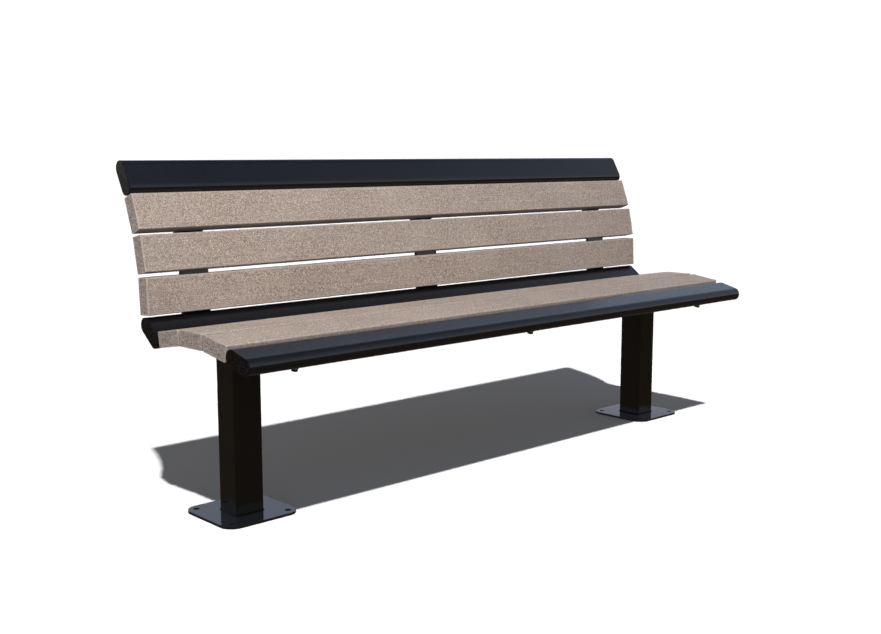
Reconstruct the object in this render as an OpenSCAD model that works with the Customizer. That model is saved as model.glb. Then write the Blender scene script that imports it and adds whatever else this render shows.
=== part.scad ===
// Contour bench: three recycled plastic seat slats and three back slats on three bent flat bars,
// with a full-round rail at the front, in the corner and along the top, on two square pedestals.
// X runs along the bench, +Y to the back, +Z up. The floor is Z = 0.

/* [Bench] */
// Length of every slat and of every rail with its caps
bench_l = 1828.8; // [1680:0.1:2400]
// Height of the highest point of the seat
seat_h = 457.2; // [430:0.1:480]
// Distance from the middle of the bench to the middle of each leg and outer strap
leg_x = 762; // [500:1:800]

/* [Slats] */
// Width of a slat
slat_w = 88.9; // [80:0.1:90]
// Thickness of a slat and of a rail
slat_t = 38.1; // [30:0.1:42]
// Radius of the long edges of a slat
slat_edge_r = 3.2; // [1:0.1:6]
// Gap between two slats where they meet the strap
slat_gap = 6.5; // [5:0.1:12]

/* [Straps] */
// Width of a strap
strap_w = 76.2; // [60:0.1:80]
// Thickness of a strap
strap_t = 9.5; // [6:0.1:12]
// Radius of the slat side of a strap, under the seat and behind the back
contour_r = 616; // [600:1:640]
// Y of the crown of the seat curve, from the middle of the legs
crown_y = -55.3; // [-60:0.1:-50]
// Angle from the crown to the middle slat of the seat
seat_mid_angle = 0.65; // [0:0.05:2]
// Angle from the crown at which the strap runs on straight to the front
nose_angle = 14.5; // [12:0.1:15]
// Y of the most forward point of the back curve
back_y = 177.5; // [176:0.1:180]
// Height of the most forward point of the back curve
back_z = 482.8; // [478:0.1:486]
// Angle from that point to the middle slat of the back
back_mid_angle = 11.87; // [11:0.01:13]
// Radius of the two tight bends, on the slat side
bend_r = 25.4; // [20:0.1:28]

/* [Rails] */
// Width of a rail, with its round edges
rail_w = 88.9; // [80:0.1:90]
// Wall of a rail
rail_wall = 3.2; // [2:0.1:4]
// Distance along the strap from the middle of the last slat to the middle of a rail
rail_pitch = 88; // [86:0.5:92]
// Y of the middle of the corner rail
corner_rail_y = 136.3; // [135:0.1:138]
// Height of the middle of the corner rail
corner_rail_z = 432.45; // [431:0.05:434]
// Slope of the corner rail
corner_rail_angle = 37.1; // [35:0.1:40]
// Thickness of the flat part of an end cap
cap_t = 3.2; // [2:0.1:5]
// Depth of the plug of an end cap inside the rail
cap_plug = 14; // [8:1:25]
// Wall of the plug of an end cap
cap_wall = 2.5; // [2:0.1:4]
// Distance from a rail bolt to the end of the strap
strap_end = 12; // [12:0.5:16]

/* [Pedestals] */
// Outside width of a square leg
leg_w = 76.2; // [60:0.1:80]
// Wall of a leg
leg_wall = 4.8; // [3:0.1:6]
// Outside corner radius of a leg
leg_r = 6; // [5:0.5:8]
// Side of a square base plate
plate_w = 203.2; // [190:0.1:240]
// Thickness of a base plate
plate_t = 6.35; // [6:0.05:16]
// Corner radius of a base plate
plate_r = 35; // [20:1:38]
// Distance between anchor holes, along X and along Y
anchor_pitch = 155.6; // [140:0.1:160]
// Diameter of an anchor hole
anchor_d = 15.9; // [12:0.1:18]
// Size of a weld bead
weld = 3; // [2.5:0.5:6]

/* [Fasteners] */
// Shank diameter of a slat screw
screw_d = 6; // [5:0.1:7]
// Depth of a slat screw beyond the strap
screw_depth = 28; // [20:1:32]
// Distance between the two screws that hold a slat to a strap, side by side
screw_pitch = 44; // [30:1:50]
// Distance from the middle of a slat to its screws, where a leg stands under the slat
screw_offset = 22; // [20:0.5:28]
// Shank diameter of a rail bolt
bolt_d = 9.5; // [8:0.1:10]
// Width across the flats of a rail bolt's head
bolt_head_af = 14.3; // [13:0.1:17]
// Height of a rail bolt's head
bolt_head_h = 6.4; // [5:0.1:8]

/* [Hidden] */
$fn = 64;
ARC_FN = 720;

// Places along the bench
strap_xs = [-leg_x, 0, leg_x];
foot_y = 0;
rail_r = slat_t / 2;
rail_flat = rail_w - slat_t;
rail_l = bench_l - 2 * cap_t;

// Centres of the two large curves, as [y, z]
seat_c = [crown_y, seat_h - slat_t - contour_r];
back_c = [back_y + contour_r, back_z];

// A station is a place on the slat side of the strap: [y, z, turn about X].
// Its local +Z points out of the strap towards the sitter, and its local +Y runs on along the strap.
function seat_station(angle) =
    [seat_c.x + contour_r * sin(angle), seat_c.y + contour_r * cos(angle), -angle];
function back_station(angle) =
    [back_c.x - contour_r * cos(angle), back_c.y + contour_r * sin(angle), 90 - angle];
function shifted(s, along, out) =
    [s.x + along * cos(s.z) - out * sin(s.z), s.y + along * sin(s.z) + out * cos(s.z), s.z];
function arc_angle(distance) = distance / contour_r * 180 / PI;

slat_step = arc_angle(slat_w + slat_gap);
front_slat_angle = seat_mid_angle - slat_step;
rear_slat_angle = seat_mid_angle + slat_step;
low_slat_angle = back_mid_angle - slat_step;
high_slat_angle = back_mid_angle + slat_step;
top_rail_angle = high_slat_angle + arc_angle(rail_pitch);

// The strap leaves the seat curve at nose_start and runs straight to the front rail
nose_start = seat_station(-nose_angle);
nose_run = rail_pitch - (front_slat_angle + nose_angle) * PI / 180 * contour_r;

front_rail_at = shifted(nose_start, -nose_run, 0);
corner_rail_at = shifted([corner_rail_y, corner_rail_z, corner_rail_angle], 0, -rail_r);
top_rail_at = back_station(top_rail_angle);
rail_stations = [front_rail_at, corner_rail_at, top_rail_at];

// The middle and rear seat slats lie over the leg, so their screws sit clear of it
front_screws_at = seat_station(front_slat_angle);
middle_screws_at = seat_station(seat_mid_angle - arc_angle(screw_offset));
rear_screws_at = seat_station(rear_slat_angle + arc_angle(screw_offset));
low_slat_at = back_station(low_slat_angle);
mid_slat_at = back_station(back_mid_angle);
high_slat_at = back_station(high_slat_angle);
screw_stations = [
    front_screws_at, middle_screws_at, rear_screws_at, low_slat_at, mid_slat_at, high_slat_at
];

// The flat under the corner rail meets each large curve in a tight bend that touches both.
// bend_shift is how far along the flat, from the middle of the rail, that bend is centred.
bend_line = shifted(corner_rail_at, 0, bend_r);
flat_dir = [cos(corner_rail_angle), sin(corner_rail_angle)];
function bend_shift(centre, side) =
    let (
        q = [bend_line.x, bend_line.y] - centre,
        along = q * flat_dir,
        reach = contour_r + bend_r
    )
    -along + side * sqrt(along * along - q * q + reach * reach);
low_shift = bend_shift(seat_c, 1);
high_shift = bend_shift(back_c, -1);
low_bend = shifted(bend_line, low_shift, 0);
high_bend = shifted(bend_line, high_shift, 0);
seat_end_angle = atan2(low_bend.x - seat_c.x, low_bend.y - seat_c.y);
back_start_angle = atan2(high_bend.y - back_c.y, back_c.x - high_bend.x);
back_end_angle = top_rail_angle + arc_angle(strap_end);

// Washers under the head of a rail bolt, and the clearance that the curve of the strap needs
flat_washer_d = 22;
flat_washer_t = 1.6;
lock_washer_d = 17;
lock_washer_t = 2.4;
curve_gap = 0.1;
bolt_stack = curve_gap + flat_washer_t + lock_washer_t;
head_face = strap_t + bolt_stack + bolt_head_h;

// Front to back, the whole bench is centred on Y = 0. The front rail is the foremost piece, and
// the head of a bolt behind the top rail is the rearmost.
front_y = front_rail_at.x - rail_r * sin(nose_angle) - rail_flat / 2 * cos(nose_angle) - rail_r;
rear_y = shifted(top_rail_at, bolt_head_af / 2, -head_face).x;
centre_y = (front_y + rear_y) / 2;

// Threaded insert in the back wall of a rail, and the length of bolt that shows beyond it
insert_d = 13;
insert_bulge_d = 18;
insert_l = 14;
bolt_tail = 2;

// Clearance of a rail bolt in the strap and in its washers
bolt_clearance = 0.9;

// Length by which the pieces of a strap's outline lap over each other
lap_l = 0.3;
// Distance by which a hole is cut past the faces it opens in
past = 1;

black = [0.07, 0.07, 0.08];
greige = [0.62, 0.56, 0.51];
zinc = [0.45, 0.45, 0.47];

// ---------- helpers ----------

// Puts a piece in place front to back
module centred() {
    translate([0, -centre_y, 0]) children();
}

// Turns an outline drawn as [y, z] into a piece that runs along X
module along_x(length, x = 0) {
    translate([x - length / 2, 0, 0])
        rotate([90, 0, 90])
            linear_extrude(height = length) children();
}

module at_station(s) {
    translate([0, s.x, s.y]) rotate([s.z, 0, 0]) children();
}

// Rounded rectangle, centred
module round_rect(w, h, r) {
    square([w, h - 2 * r], center = true);
    square([w - 2 * r, h], center = true);
    for (sx = [-1, 1], sy = [-1, 1])
        translate([sx * (w / 2 - r), sy * (h / 2 - r)]) circle(r = r);
}

// Bar with full-round edges, centred
module round_bar(w, t) {
    square([w - t, t], center = true);
    for (s = [-1, 1])
        translate([s * (w - t) / 2, 0]) circle(d = t);
}

// Part of a ring between two polar angles. It laps a little over what joins it at each end.
module ring_sector(centre, r_in, r_out, from, to) {
    reach = 1.2 * r_out;
    lap = lap_l / r_out * 180 / PI;
    translate([centre.x, centre.y])
        intersection() {
            difference() {
                circle(r = r_out, $fn = ARC_FN);
                circle(r = r_in, $fn = ARC_FN);
            }
            polygon([
                [0, 0],
                reach * [cos(from - lap), sin(from - lap)],
                reach * [cos(to + lap), sin(to + lap)]
            ]);
        }
}

// Flat stretch of strap that starts at a station
module strap_flat(s, length) {
    translate([s.x, s.y]) rotate(s.z) translate([0, -strap_t]) square([length, strap_t]);
}

// ---------- straps ----------

module strap_outline() {
    strap_flat(shifted(front_rail_at, -strap_end, 0), strap_end + nose_run);
    ring_sector(seat_c, contour_r - strap_t, contour_r, 90 - seat_end_angle, 90 + nose_angle);
    ring_sector(low_bend, bend_r, bend_r + strap_t, 270 - seat_end_angle, 270 + corner_rail_angle);
    strap_flat(shifted(corner_rail_at, low_shift, 0), high_shift - low_shift);
    ring_sector(high_bend, bend_r, bend_r + strap_t, 270 + corner_rail_angle, 360 - back_start_angle);
    ring_sector(back_c, contour_r - strap_t, contour_r, 180 - back_end_angle, 180 - back_start_angle);
}

// Runs its children at both screws of each station on the strap at x
module at_screws(stations, x) {
    for (s = stations, side = [-1, 1])
        translate([x + side * screw_pitch / 2, 0, 0]) at_station(s) children();
}

module strap(x) {
    screw_clearance = 1.2;
    color(black)
        centred()
            difference() {
                along_x(strap_w, x) strap_outline();
                at_screws(screw_stations, x)
                    cylinder(d = screw_d + screw_clearance, h = 3 * strap_t, center = true);
                for (s = rail_stations)
                    translate([x, 0, 0]) at_station(s)
                        cylinder(d = bolt_d + bolt_clearance, h = 3 * strap_t, center = true);
            }
}

// ---------- slats ----------

module slat(station, screws_at) {
    color(greige)
        centred()
            difference() {
                at_station(station)
                    translate([0, 0, slat_t / 2])
                        along_x(bench_l) round_rect(slat_w, slat_t, slat_edge_r);
                for (x = strap_xs)
                    at_screws([screws_at], x)
                        translate([0, 0, -strap_t]) cylinder(d = screw_d, h = strap_t + screw_depth);
            }
}

// ---------- rails ----------

module rail(station) {
    color(black)
        centred()
            difference() {
                at_station(station)
                    translate([0, 0, rail_r])
                        along_x(rail_l)
                            difference() {
                                round_bar(rail_w, slat_t);
                                round_bar(rail_w - 2 * rail_wall, slat_t - 2 * rail_wall);
                            }
                for (x = strap_xs)
                    translate([x, 0, 0]) at_station(station)
                        cylinder(d = insert_d, h = 3 * rail_wall, center = true);
            }
}

// side is -1 for the left end of a rail and 1 for the right end
module rail_cap(station, side) {
    plug_w = rail_w - 2 * rail_wall;
    plug_t = slat_t - 2 * rail_wall;
    color(black)
        centred()
            at_station(station)
                translate([0, 0, rail_r]) {
                    along_x(cap_t, side * (rail_l + cap_t) / 2) round_bar(rail_w, slat_t);
                    along_x(cap_plug, side * (rail_l - cap_plug) / 2)
                        difference() {
                            round_bar(plug_w, plug_t);
                            round_bar(plug_w - 2 * cap_wall, plug_t - 2 * cap_wall);
                        }
                }
}

// ---------- pedestals ----------

module base_plate(x) {
    color(black)
        centred()
            translate([x, foot_y, 0])
                difference() {
                    linear_extrude(height = plate_t) round_rect(plate_w, plate_w, plate_r);
                    for (sx = [-1, 1], sy = [-1, 1])
                        translate([sx * anchor_pitch / 2, sy * anchor_pitch / 2, -past])
                            cylinder(d = anchor_d, h = plate_t + 2 * past);
                }
}

// Everything under the lower side of the seat curve
module under_strap(x) {
    along_x(2 * leg_w, x)
        translate([seat_c.x, seat_c.y]) circle(r = contour_r - strap_t, $fn = ARC_FN);
}

module leg(x) {
    bore_w = leg_w - 2 * leg_wall;
    bore_r = max(leg_r - leg_wall, 1);
    color(black)
        centred()
            intersection() {
                translate([x, foot_y, plate_t])
                    linear_extrude(height = seat_h)
                        difference() {
                            round_rect(leg_w, leg_w, leg_r);
                            round_rect(bore_w, bore_w, bore_r);
                        }
                under_strap(x);
            }
}

module foot_weld(x) {
    straight = leg_w - 2 * leg_r;
    bead = [[0, 0], [weld, 0], [0, weld]];
    color(black)
        centred()
            translate([x, foot_y, plate_t])
                for (turn = [0, 90, 180, 270])
                    rotate(turn) {
                        translate([leg_w / 2, straight / 2, 0]) rotate([90, 0, 0])
                            linear_extrude(height = straight) polygon(bead);
                        translate([straight / 2, straight / 2, 0])
                            rotate_extrude(angle = 90) translate([leg_r, 0]) polygon(bead);
                    }
}

// Height of the lower side of the seat curve
function under_z(y) = seat_c.y + sqrt(pow(contour_r - strap_t, 2) - pow(y - seat_c.x, 2));

module head_weld(x) {
    bead_l = leg_w - 2 * leg_r;
    color(black)
        centred()
            for (side = [-1, 1]) {
                face_y = foot_y + side * leg_w / 2;
                edge_y = face_y + side * weld;
                along_x(bead_l, x)
                    polygon([
                        [face_y, under_z(face_y)],
                        [edge_y, under_z(edge_y)],
                        [face_y, under_z(face_y) - weld]
                    ]);
            }
}

// ---------- fasteners ----------

module slat_screws(x) {
    flange_d = 13;
    flange_t = 1.5;
    hex_af = 9.5;
    hex_h = 4;
    bearing_gap = 0.05;
    bearing = -strap_t - bearing_gap;
    color(zinc)
        centred()
            at_screws(screw_stations, x) {
                translate([0, 0, bearing]) cylinder(d = screw_d, h = strap_t + screw_depth);
                translate([0, 0, bearing - flange_t]) cylinder(d = flange_d, h = flange_t);
                translate([0, 0, bearing - flange_t - hex_h])
                    cylinder(d = hex_af / cos(30), h = hex_h, $fn = 6);
            }
}

// Runs its children under the strap at every rail bolt, a given distance below the strap
module under_bolts(stations, drop) {
    for (x = strap_xs, s = stations)
        translate([x, 0, 0]) at_station(shifted(s, 0, -strap_t - drop)) children();
}

// A washer lies at a given distance below the strap
module washers(d, t, drop) {
    color(zinc)
        centred()
            under_bolts(rail_stations, drop + t + curve_gap)
                difference() {
                    cylinder(d = d, h = t);
                    translate([0, 0, -past]) cylinder(d = bolt_d + bolt_clearance, h = t + 2 * past);
                }
}

module rail_bolts(station) {
    shank = bolt_stack + strap_t + insert_l + bolt_tail;
    color(black)
        centred()
            under_bolts([station], bolt_stack + bolt_head_h) {
                cylinder(d = bolt_head_af / cos(30), h = bolt_head_h, $fn = 6);
                translate([0, 0, bolt_head_h]) cylinder(d = bolt_d, h = shank);
            }
}

module rail_inserts() {
    color(zinc)
        centred()
            for (x = strap_xs, s = rail_stations)
                translate([x, 0, 0]) at_station(s)
                    difference() {
                        union() {
                            cylinder(d = insert_d, h = insert_l);
                            translate([0, 0, rail_wall]) cylinder(d = insert_bulge_d, h = rail_wall);
                        }
                        translate([0, 0, -past]) cylinder(d = bolt_d, h = insert_l + 2 * past);
                    }
}

// ---------- nodes ----------

base_plate(-leg_x);  // left_base_plate
base_plate(leg_x);  // right_base_plate
leg(-leg_x);  // left_leg
leg(leg_x);  // right_leg
foot_weld(-leg_x);  // left_foot_weld
foot_weld(leg_x);  // right_foot_weld
head_weld(-leg_x);  // left_head_weld
head_weld(leg_x);  // right_head_weld
strap(-leg_x);  // left_strap
strap(0);  // middle_strap
strap(leg_x);  // right_strap
slat(seat_station(front_slat_angle), front_screws_at);  // front_seat_slat
slat(seat_station(seat_mid_angle), middle_screws_at);  // middle_seat_slat
slat(seat_station(rear_slat_angle), rear_screws_at);  // rear_seat_slat
slat(low_slat_at, low_slat_at);  // lower_back_slat
slat(mid_slat_at, mid_slat_at);  // middle_back_slat
slat(high_slat_at, high_slat_at);  // upper_back_slat
rail(front_rail_at);  // front_rail
rail(corner_rail_at);  // corner_rail
rail(top_rail_at);  // top_rail
rail_cap(front_rail_at, -1);  // front_rail_left_cap
rail_cap(front_rail_at, 1);  // front_rail_right_cap
rail_cap(corner_rail_at, -1);  // corner_rail_left_cap
rail_cap(corner_rail_at, 1);  // corner_rail_right_cap
rail_cap(top_rail_at, -1);  // top_rail_left_cap
rail_cap(top_rail_at, 1);  // top_rail_right_cap
rail_inserts();
rail_bolts(front_rail_at);  // front_rail_bolts
rail_bolts(corner_rail_at);  // corner_rail_bolts
rail_bolts(top_rail_at);  // top_rail_bolts
washers(lock_washer_d, lock_washer_t, flat_washer_t);  // rail_lock_washers
washers(flat_washer_d, flat_washer_t, 0);  // rail_flat_washers
slat_screws(-leg_x);  // left_slat_screws
slat_screws(0);  // middle_slat_screws
slat_screws(leg_x);  // right_slat_screws
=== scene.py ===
"""Looks for the contour bench: materials, camera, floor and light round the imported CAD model."""
import math

import bpy
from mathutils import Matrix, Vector

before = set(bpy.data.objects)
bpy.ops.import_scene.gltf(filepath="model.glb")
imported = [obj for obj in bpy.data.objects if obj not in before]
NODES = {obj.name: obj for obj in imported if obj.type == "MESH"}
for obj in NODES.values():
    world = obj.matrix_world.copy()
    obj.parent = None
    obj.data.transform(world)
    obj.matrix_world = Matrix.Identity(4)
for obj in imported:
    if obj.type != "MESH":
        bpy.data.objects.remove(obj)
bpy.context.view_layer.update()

# ---------- which nodes share a finish ----------

SLATS = [
    "front_seat_slat", "middle_seat_slat", "rear_seat_slat",
    "lower_back_slat", "middle_back_slat", "upper_back_slat",
]
RAILS = ["front_rail", "corner_rail", "top_rail"]
SIDES = ("left", "right")
CAPS = [f"{rail}_{side}_cap" for rail in RAILS for side in SIDES]
PLATES = [f"{side}_base_plate" for side in SIDES]
LEGS = [f"{side}_leg" for side in SIDES]
WELDS = [f"{side}_{end}_weld" for side in SIDES for end in ("foot", "head")]
STRAPS = ["left_strap", "middle_strap", "right_strap"]
BOLTS = [f"{rail}_bolts" for rail in RAILS]
ZINC = [
    "rail_inserts", "rail_lock_washers", "rail_flat_washers",
    "left_slat_screws", "middle_slat_screws", "right_slat_screws",
]


# ---------- node helpers ----------

# A Mix node has a set of sockets for each kind of data. These are the numbers of its colour sockets.
MIX_FACTOR, MIX_FIRST, MIX_SECOND = 0, 6, 7
MIX_RESULT = 2

# How far a rounded normal leans from the real one, as a cosine: hardly at all on a flat, and well over on
# an edge. The bevel's samples are how many rays look for the edge.
FLAT_COSINE = 0.995
EDGE_COSINE = 0.85
BEVEL_SAMPLES = 6

# A noise texture's values lie mostly between these.
NOISE_LOW = 0.3
NOISE_HIGH = 0.7


def rgb(r, g, b):
    return (r, g, b, 1.0)


class Tree:
    """Builds a material's nodes: each call adds nodes and gives back their output.

    A texture's scale is its number of cells to a metre, and radii and heights are in metres.
    """

    def __init__(self, name):
        self.material = bpy.data.materials.new(name)
        self.material.use_nodes = True
        self.nodes = self.material.node_tree.nodes
        self.links = self.material.node_tree.links
        self.nodes.clear()
        self.shader = self.nodes.new("ShaderNodeBsdfPrincipled")
        output = self.nodes.new("ShaderNodeOutputMaterial")
        self.links.new(self.shader.outputs["BSDF"], output.inputs["Surface"])
        coordinates = self.nodes.new("ShaderNodeTexCoord")
        self.place = coordinates.outputs["Object"]
        self.normal = coordinates.outputs["Normal"]

    def feed(self, socket, value):
        """Links a node's output to a socket, or sets a plain value on it."""
        if isinstance(value, bpy.types.NodeSocket):
            self.links.new(value, socket)
        elif value is not None:
            socket.default_value = value

    def stretched(self, scale):
        """The object's coordinates, scaled along each axis."""
        node = self.nodes.new("ShaderNodeMapping")
        self.links.new(self.place, node.inputs["Vector"])
        node.inputs["Scale"].default_value = scale
        return node.outputs["Vector"]

    def noise(self, scale, detail=2.0, roughness=0.5, vector=None, distortion=0.0):
        node = self.nodes.new("ShaderNodeTexNoise")
        self.links.new(vector or self.place, node.inputs["Vector"])
        node.inputs["Scale"].default_value = scale
        node.inputs["Detail"].default_value = detail
        node.inputs["Roughness"].default_value = roughness
        node.inputs["Distortion"].default_value = distortion
        return node.outputs["Fac"]

    def flecks(self, scale):
        """Cells of one random value each, for chips and specks."""
        node = self.nodes.new("ShaderNodeTexVoronoi")
        self.links.new(self.place, node.inputs["Vector"])
        node.inputs["Scale"].default_value = scale
        parts = self.nodes.new("ShaderNodeSeparateColor")
        self.links.new(node.outputs["Color"], parts.inputs["Color"])
        return parts.outputs["Red"]

    def remap(self, value, low, high, to_low=0.0, to_high=1.0):
        """Takes the range from low to high to the range from to_low to to_high, and goes no further."""
        node = self.nodes.new("ShaderNodeMapRange")
        self.feed(node.inputs["Value"], value)
        node.inputs["From Min"].default_value = low
        node.inputs["From Max"].default_value = high
        node.inputs["To Min"].default_value = to_low
        node.inputs["To Max"].default_value = to_high
        return node.outputs["Result"]

    def spread(self, noise, at_low, at_high):
        """Takes a noise's usual range to the range between two values."""
        return self.remap(noise, NOISE_LOW, NOISE_HIGH, at_low, at_high)

    def maths(self, operation, a, b=None):
        node = self.nodes.new("ShaderNodeMath")
        node.operation = operation
        self.feed(node.inputs[0], a)
        self.feed(node.inputs[1], b)
        return node.outputs["Value"]

    def mix(self, factor, first, second):
        node = self.nodes.new("ShaderNodeMix")
        node.data_type = "RGBA"
        self.feed(node.inputs[MIX_FACTOR], factor)
        self.feed(node.inputs[MIX_FIRST], first)
        self.feed(node.inputs[MIX_SECOND], second)
        return node.outputs[MIX_RESULT]

    def layers(self, colour, rows, within=None):
        """Lays tones over a colour, one for each row.

        A row is what the tone follows, the value where it starts, the value where it is full, how
        strongly it then covers, and the tone. The mask called within keeps them all to one part of
        the surface.
        """
        for source, start, full, cover, tone in rows:
            mask = self.remap(source, start, full, 0.0, cover)
            if within is not None:
                mask = self.maths("MULTIPLY", within, mask)
            colour = self.mix(mask, colour, tone)
        return colour

    def axis_part(self, vector, axis):
        """One part of a vector, by the axis's name."""
        node = self.nodes.new("ShaderNodeSeparateXYZ")
        self.links.new(vector, node.inputs["Vector"])
        return node.outputs[axis]

    def edges(self, radius):
        """1 along sharp edges and 0 on the flats, from how far a rounded normal leans."""
        rounded = self.nodes.new("ShaderNodeBevel")
        rounded.samples = BEVEL_SAMPLES
        rounded.inputs["Radius"].default_value = radius
        facing = self.nodes.new("ShaderNodeNewGeometry")
        dot = self.nodes.new("ShaderNodeVectorMath")
        dot.operation = "DOT_PRODUCT"
        self.links.new(rounded.outputs["Normal"], dot.inputs[0])
        self.links.new(facing.outputs["Normal"], dot.inputs[1])
        return self.remap(dot.outputs["Value"], FLAT_COSINE, EDGE_COSINE)

    def bump(self, height, distance, strength=1.0, under=None):
        node = self.nodes.new("ShaderNodeBump")
        node.inputs["Strength"].default_value = strength
        node.inputs["Distance"].default_value = distance
        self.links.new(height, node.inputs["Height"])
        if under is not None:
            self.links.new(under, node.inputs["Normal"])
        return node.outputs["Normal"]

    def finish(self, colour, roughness, normal=None, metallic=0.0, ior=1.5):
        self.feed(self.shader.inputs["Base Color"], colour)
        self.feed(self.shader.inputs["Roughness"], roughness)
        self.feed(self.shader.inputs["Metallic"], metallic)
        self.shader.inputs["IOR"].default_value = ior
        if normal is not None:
            self.links.new(normal, self.shader.inputs["Normal"])
        return self.material


# ---------- materials ----------

def recycled_board():
    """Grey-beige recycled plastic: coarse light and dark grains, faint lengthwise streaks, sawn ends."""
    t = Tree("recycled_board")
    body = rgb(0.578, 0.442, 0.345)
    pale = rgb(0.98, 0.84, 0.71)
    dark = rgb(0.255, 0.182, 0.138)
    sawn = rgb(0.72, 0.56, 0.45)
    grey = rgb(0.47, 0.41, 0.37)
    pit = rgb(0.10, 0.075, 0.06)
    # The colour of the painted shade on the faces that look down.
    dust_and_underside_shade = rgb(0.300, 0.300, 0.312)

    grains = t.noise(430.0, 1.5, 0.6)
    fine = t.noise(1150.0, 1.0, 0.5)
    chips = t.flecks(360.0)
    streaks = t.noise(1.0, 3.0, 0.6, t.stretched((7.0, 330.0, 330.0)))
    scratches = t.noise(1.0, 1.0, 0.5, t.stretched((3.0, 260.0, 260.0)))
    cloud = t.noise(5.5, 2.0, 0.5)
    tint = t.noise(48.0, 2.0, 0.6)

    colour = t.layers(body, [
        (tint, 0.40, 0.62, 0.26, grey),
        (grains, 0.515, 0.62, 0.95, pale),
        (grains, 0.470, 0.345, 0.85, dark),
        (chips, 0.92, 0.96, 0.70, pale),
        (chips, 0.08, 0.04, 0.70, dark),
        (fine, 0.35, 0.65, 0.26, dark),
        (streaks, 0.42, 0.70, 0.22, dark),
        (scratches, 0.66, 0.72, 0.22, pale),
        (cloud, 0.35, 0.65, 0.12, pale),
    ])

    # The sawn ends: a little paler, with wavy bands of packed grains across them and a few small pits.
    # The mask is 1 on faces that look along the bench.
    end = t.remap(t.maths("ABSOLUTE", t.axis_part(t.normal, "X")), 0.6, 0.9)
    bands = t.noise(1.0, 2.0, 0.6, t.stretched((60.0, 40.0, 420.0)), 0.5)
    pits = t.noise(1.0, 0.0, 0.5, t.stretched((150.0, 150.0, 230.0)))
    cut_grains = t.flecks(400.0)
    colour = t.layers(colour, [(end, 0.0, 1.0, 0.46, sawn)])
    colour = t.layers(colour, within=end, rows=[
        (bands, 0.46, 0.60, 0.62, pale),
        (bands, 0.42, 0.32, 0.34, dark),
        (cut_grains, 0.84, 0.92, 0.70, pale),
        (cut_grains, 0.18, 0.10, 0.62, dark),
        (pits, 0.27, 0.22, 0.80, pit),
    ])

    # Wear along the edges, paler, which also paints a highlight on the rounded arrises; then painted shade,
    # a flat grey, on the faces that look down.
    worn_edge_and_highlight = t.edges(0.007)
    facing_up = t.axis_part(t.normal, "Z")
    colour = t.layers(colour, [
        (worn_edge_and_highlight, 0.0, 1.0, 0.92, pale),
        (facing_up, -0.30, -0.52, 0.80, dust_and_underside_shade),
    ])

    roughness = t.spread(grains, 0.72, 0.54)
    relief = t.bump(streaks, 0.0003, 0.5)
    relief = t.bump(grains, 0.0006, 0.8, relief)
    relief = t.bump(fine, 0.0002, 0.6, relief)
    # The low index of refraction leaves the rough plastic hardly any sheen.
    return t.finish(colour, roughness, relief, ior=1.3)


def powder_coat(name, colour, tint, gloss, peel):
    """Powder coat: slight orange peel, faint dust and smears, paler where the edges are rubbed."""
    t = Tree(name)
    cloud = t.noise(7.0, 3.0, 0.55)
    smear = t.noise(38.0, 4.0, 0.6, distortion=0.6)
    dust_and_underside_shade = t.noise(1500.0, 0.0, 0.5)
    orange_peel = t.noise(480.0, 1.0, 0.4)

    rubbed = t.edges(0.0012)
    base = t.layers(colour, [
        (cloud, NOISE_LOW, NOISE_HIGH, 1.0, tint),
        (dust_and_underside_shade, 0.74, 0.80, 0.20, rgb(0.16, 0.155, 0.15)),
        (rubbed, 0.0, 1.0, 0.30, rgb(0.065, 0.066, 0.07)),
    ])

    roughness = t.spread(smear, gloss - 0.025, gloss + 0.045)
    roughness = t.maths("ADD", roughness, t.maths("MULTIPLY", rubbed, 0.10))
    relief = t.bump(orange_peel, peel, 0.6)
    return t.finish(base, roughness, relief)


def moulded_cap():
    """Black moulding with a pebbled face and pale specks."""
    t = Tree("moulded_cap")
    pebbles = t.noise(300.0, 2.0, 0.6)
    specks = t.flecks(330.0)
    cloud = t.noise(30.0, 2.0, 0.5)
    rubbed = t.edges(0.0012)
    base = t.layers(rgb(0.0062, 0.0056, 0.0050), [
        (cloud, NOISE_LOW, NOISE_HIGH, 1.0, rgb(0.0100, 0.0093, 0.0086)),
        (specks, 0.83, 0.91, 0.46, rgb(0.060, 0.059, 0.061)),
        (rubbed, 0.0, 1.0, 0.25, rgb(0.035, 0.035, 0.035)),
    ])
    roughness = t.spread(pebbles, 0.20, 0.32)
    return t.finish(base, roughness, t.bump(pebbles, 0.0004, 0.7), ior=1.23)


def weld_bead():
    """Painted weld: ripples across the bead, with the coat dull in the hollows."""
    t = Tree("weld_bead")
    ripples = t.noise(1.0, 1.0, 0.5, t.stretched((420.0, 420.0, 60.0)), 0.5)
    cloud = t.noise(60.0, 2.0, 0.5)
    base = t.layers(rgb(0.0040, 0.0036, 0.0032), [
        (cloud, NOISE_LOW, NOISE_HIGH, 1.0, rgb(0.0066, 0.0060, 0.0054)),
        (ripples, 0.60, 0.75, 0.3, rgb(0.014, 0.014, 0.015)),
    ])
    roughness = t.spread(ripples, 0.62, 0.42)
    return t.finish(base, roughness, t.bump(ripples, 0.0003, 0.7), ior=1.2)


def zinc_plate():
    """Dull zinc plate with a crystalline grain and darker smudges."""
    t = Tree("zinc_plate")
    grain = t.flecks(700.0)
    smudge = t.noise(90.0, 3.0, 0.6)
    base = t.layers(rgb(0.42, 0.43, 0.45), [
        (grain, 0.0, 1.0, 1.0, rgb(0.55, 0.56, 0.57)),
        (smudge, 0.45, 0.75, 0.5, rgb(0.27, 0.26, 0.24)),
    ])
    roughness = t.spread(smudge, 0.28, 0.48)
    return t.finish(base, roughness, t.bump(smudge, 0.0001, 0.5), metallic=1.0)


def dress(names, material):
    """Gives CAD nodes a material, without changing their meshes."""
    for name in names:
        for slot in NODES[name].material_slots:
            slot.link = "OBJECT"
            slot.material = material


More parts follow.
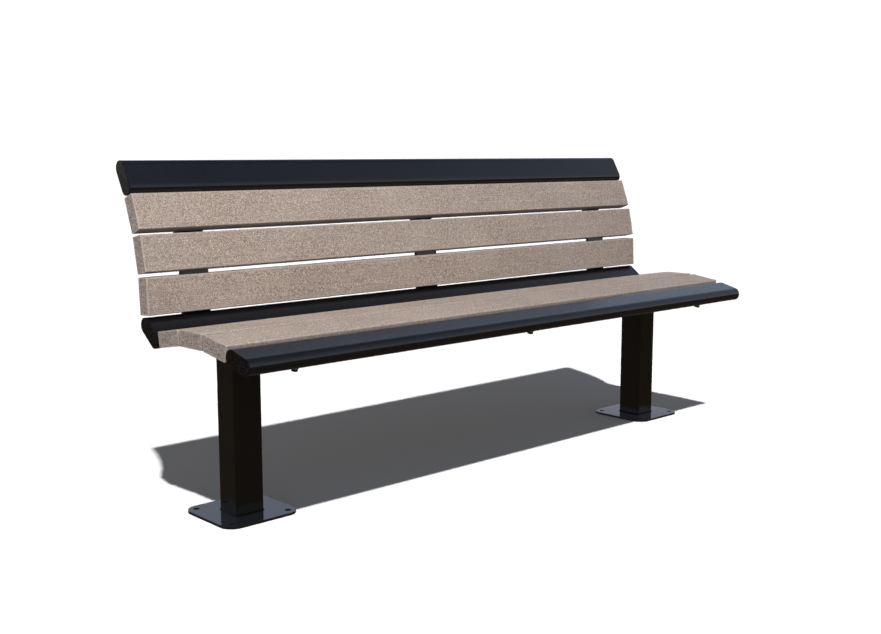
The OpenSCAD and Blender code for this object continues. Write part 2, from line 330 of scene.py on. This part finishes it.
rail_coat = powder_coat(
    "rail_coat", rgb(0.0065, 0.0068, 0.0080), rgb(0.0085, 0.0090, 0.0110), gloss=0.19, peel=0.00012)
frame_coat = powder_coat(
    "frame_coat", rgb(0.0052, 0.0046, 0.0040), rgb(0.0070, 0.0064, 0.0058), gloss=0.10, peel=0.00008)
plate_coat = powder_coat(
    "plate_coat", rgb(0.0185, 0.0188, 0.0245), rgb(0.0225, 0.0228, 0.0295), gloss=0.08, peel=0.00005)
bolt_coat = powder_coat(
    "bolt_coat", rgb(0.0075, 0.0072, 0.0070), rgb(0.011, 0.0105, 0.010), gloss=0.30, peel=0.0001)

dress(SLATS, recycled_board())
dress(RAILS, rail_coat)
dress(LEGS + STRAPS, frame_coat)
dress(PLATES, plate_coat)
dress(WELDS, weld_bead())
dress(CAPS, moulded_cap())
dress(BOLTS, bolt_coat)
dress(ZINC, zinc_plate())


def add_object(name, data):
    added = bpy.data.objects.new(name, data)
    bpy.context.scene.collection.objects.link(added)
    return added


# ---------- floor and backdrop ----------

FLOOR_RADIUS = 24.0
DOME_RADIUS = 23.8
DOME_DROP = 0.02  # the rim of the dome goes this far below the floor, so that no light comes in between
DOME_RINGS = 24
DOME_SEGMENTS = 96  # points round the floor's rim and round each ring of the dome
FLOOR_COLOUR = rgb(0.425, 0.39, 0.34)
BACKDROP_COLOUR = rgb(1, 1, 1)
BACKDROP_GLOW = 1.1


def plain_material(name, colour, emission=0.0):
    material = bpy.data.materials.new(name)
    material.use_nodes = True
    nodes, links = material.node_tree.nodes, material.node_tree.links
    nodes.clear()
    output = nodes.new("ShaderNodeOutputMaterial")
    shader = nodes.new("ShaderNodeEmission" if emission else "ShaderNodeBsdfDiffuse")
    shader.inputs["Color"].default_value = colour
    if emission:
        shader.inputs["Strength"].default_value = emission
    links.new(shader.outputs[0], output.inputs["Surface"])
    return material


def stage_mesh(name, points, faces, material):
    mesh = bpy.data.meshes.new(name)
    mesh.from_pydata(points, [], faces)
    mesh.materials.append(material)
    piece = add_object(name, mesh)
    return piece


def circle(radius, z):
    """Points round the Z axis at one height."""
    turns = (2 * math.pi * i / DOME_SEGMENTS for i in range(DOME_SEGMENTS))
    return [(radius * math.cos(turn), radius * math.sin(turn), z) for turn in turns]


def dome_points():
    """Rings of points from just under the floor up to near the top, which stays open."""
    points = []
    for ring in range(DOME_RINGS):
        lift = math.pi / 2 * ring / DOME_RINGS
        points += circle(DOME_RADIUS * math.cos(lift), DOME_RADIUS * math.sin(lift) - DOME_DROP)
    return points


def dome_faces():
    """Four-sided faces between each ring of points and the next one up."""
    faces = []
    for ring in range(DOME_RINGS - 1):
        for i in range(DOME_SEGMENTS):
            corner = ring * DOME_SEGMENTS + i
            beside = ring * DOME_SEGMENTS + (i + 1) % DOME_SEGMENTS
            faces.append((corner, corner + DOME_SEGMENTS, beside + DOME_SEGMENTS, beside))
    return faces


floor = stage_mesh(
    "floor", circle(FLOOR_RADIUS, 0.0), [tuple(range(DOME_SEGMENTS))],
    plain_material("floor_white", FLOOR_COLOUR))
# The floor takes shadows, but the black parts don't mirror it: they mirror the studio round them.
floor.visible_diffuse = False
floor.visible_glossy = False

dome = stage_mesh(
    "backdrop", dome_points(), dome_faces(),
    plain_material("backdrop_white", BACKDROP_COLOUR, BACKDROP_GLOW))
dome.visible_diffuse = False
dome.visible_glossy = False
dome.visible_shadow = False
dome.visible_transmission = False


# ---------- light ----------

# Height of a direction on the unit sphere, and the studio's colour there towards the bench's front and
# towards its back: a dim warm ground, a bright band at eye level, and a cool ceiling. The first and the
# last colour run on to straight down and straight up.
STUDIO = [
    (0.00, (0.04, 0.03, 0.022), (0.04, 0.03, 0.022)),
    (0.05, (0.37, 0.39, 0.40), (0.80, 0.79, 0.78)),
    (0.12, (0.32, 0.31, 0.32), (0.63, 0.62, 0.61)),
    (0.22, (0.26, 0.28, 0.30), (0.16, 0.17, 0.22)),
    (0.32, (0.20, 0.24, 0.26), (0.20, 0.23, 0.28)),
    (0.50, (0.17, 0.19, 0.26), (0.16, 0.21, 0.30)),
    (0.75, (0.06, 0.08, 0.12), (0.035, 0.025, 0.015)),
]
FRONT, BACK = 0, 1  # which of a row's two colours
STUDIO_STRENGTH = 2.5
FRONT_TO_BACK = 0.5  # how far either way along Y the studio changes from its front to its back

world = bpy.data.worlds.new("studio")
world.use_nodes = True
world.node_tree.nodes.clear()
bpy.context.scene.world = world


def world_node(kind):
    return world.node_tree.nodes.new(kind)


def world_range(part, low, high):
    """0 to 1 as one part of the direction goes from low to high."""
    node = world_node("ShaderNodeMapRange")
    node.inputs["From Min"].default_value = low
    node.inputs["From Max"].default_value = high
    world.node_tree.links.new(part, node.inputs["Value"])
    return node.outputs["Result"]


def studio_side(height, side):
    """The colour ramp up one side of the studio."""
    ramp = world_node("ShaderNodeValToRGB")
    world.node_tree.links.new(height, ramp.inputs["Fac"])
    steps = ramp.color_ramp.elements
    while len(steps) < len(STUDIO):
        steps.new(1.0)  # moved to its own place below
    for step, (z, *sides) in zip(steps, STUDIO):
        step.position = (z + 1) / 2
        step.color = (*sides[side], 1.0)
    return ramp.outputs["Color"]


def light_studio():
    """Wires the world: two colour ramps by height, blended from the front to the back."""
    link = world.node_tree.links.new
    direction = world_node("ShaderNodeTexCoord")
    parts = world_node("ShaderNodeSeparateXYZ")
    link(direction.outputs["Generated"], parts.inputs["Vector"])
    height = world_range(parts.outputs["Z"], -1.0, 1.0)

    blend = world_node("ShaderNodeMix")
    blend.data_type = "RGBA"
    link(world_range(parts.outputs["Y"], -FRONT_TO_BACK, FRONT_TO_BACK), blend.inputs[MIX_FACTOR])
    link(studio_side(height, FRONT), blend.inputs[MIX_FIRST])
    link(studio_side(height, BACK), blend.inputs[MIX_SECOND])

    background = world_node("ShaderNodeBackground")
    background.inputs["Strength"].default_value = STUDIO_STRENGTH
    link(blend.outputs[MIX_RESULT], background.inputs["Color"])
    output = world_node("ShaderNodeOutputWorld")
    link(background.outputs["Background"], output.inputs["Surface"])


light_studio()


def turn_lamp(lamp, way):
    """Turns a lamp so that it shines along a direction."""
    lamp.rotation_mode = "QUATERNION"
    lamp.rotation_quaternion = way.to_track_quat("-Z", "Y")


def softbox(name, place, target, side, watts, colour):
    data = bpy.data.lights.new(name, "AREA")
    data.shape = "RECTANGLE"
    data.size = side
    data.size_y = side
    data.energy = watts
    data.color = colour
    lamp = add_object(name, data)
    lamp.location = place
    turn_lamp(lamp, target - place)
    return lamp


def light_only(lamp, lit_objects):
    """Makes a lamp light nothing but these objects."""
    lit = bpy.data.collections.new(f"lit_by_{lamp.name}")
    for lit_object in lit_objects:
        lit.objects.link(lit_object)
    lamp.light_linking.receiver_collection = lit


# The key light, and the way to it: from the front left and high up.
KEY_WAY = Vector((-0.351, -0.504, 1.0)).normalized()
KEY_DISTANCE = 3.0
KEY_TARGET = Vector((-0.2, 0.0, 0.45))
KEY_SIDE = 1.5
KEY_WATTS = 45.0
KEY_COLOUR = (1.0, 0.968, 0.932)

# The seat light, above and beyond the right end and aimed straight down: it evens out the seat.
SEAT_LIGHT_PLACE = Vector((1.55, 0.45, 1.65))
SEAT_LIGHT_TARGET = Vector((1.55, 0.45, 0.0))
SEAT_LIGHT_SIDE = 0.6
SEAT_LIGHT_WATTS = 3.1
SEAT_LIGHT_COLOUR = (1.0, 0.86, 0.73)

# The floor has a light of its own from the key's direction, so that it is evenly white out to the backdrop.
FLOOR_LIGHT_STRENGTH = 10.8
FLOOR_LIGHT_ANGLE = 1.5  # degrees
FLOOR_LIGHT_COLOUR = (0.798, 0.870, 1.0)

key = softbox("key", KEY_TARGET + KEY_WAY * KEY_DISTANCE, KEY_TARGET, KEY_SIDE, KEY_WATTS, KEY_COLOUR)
seat_light = softbox(
    "seat_light", SEAT_LIGHT_PLACE, SEAT_LIGHT_TARGET,
    SEAT_LIGHT_SIDE, SEAT_LIGHT_WATTS, SEAT_LIGHT_COLOUR)
seat_light.visible_glossy = False  # the glossy parts don't mirror it

sun_data = bpy.data.lights.new("floor_light", "SUN")
sun_data.energy = FLOOR_LIGHT_STRENGTH
sun_data.angle = math.radians(FLOOR_LIGHT_ANGLE)
sun_data.color = FLOOR_LIGHT_COLOUR
floor_light = add_object("floor_light", sun_data)
turn_lamp(floor_light, -KEY_WAY)

light_only(floor_light, [floor])
light_only(key, NODES.values())
light_only(seat_light, NODES.values())


# ---------- camera ----------

# In front of the bench and off its left end, about as high as the top of the back. The pitch is down from
# level and the yaw is to the right of straight at the back, in degrees.
LENS_MM = 46.2
SENSOR_MM = 36.0
NEAREST_SEEN = 0.05
FARTHEST_SEEN = 200.0
CAMERA_PLACE = (-2.189, -2.2298, 0.8499)
CAMERA_PITCH = 8.29
CAMERA_YAW = 42.91

camera_data = bpy.data.cameras.new("camera")
camera_data.lens = LENS_MM
camera_data.sensor_width = SENSOR_MM
camera_data.clip_start = NEAREST_SEEN
camera_data.clip_end = FARTHEST_SEEN
camera = add_object("camera", camera_data)
camera.location = CAMERA_PLACE
camera.rotation_euler = (math.radians(90 - CAMERA_PITCH), 0, math.radians(-CAMERA_YAW))
bpy.context.scene.camera = camera
bpy.context.scene.view_settings.view_transform = "Standard"
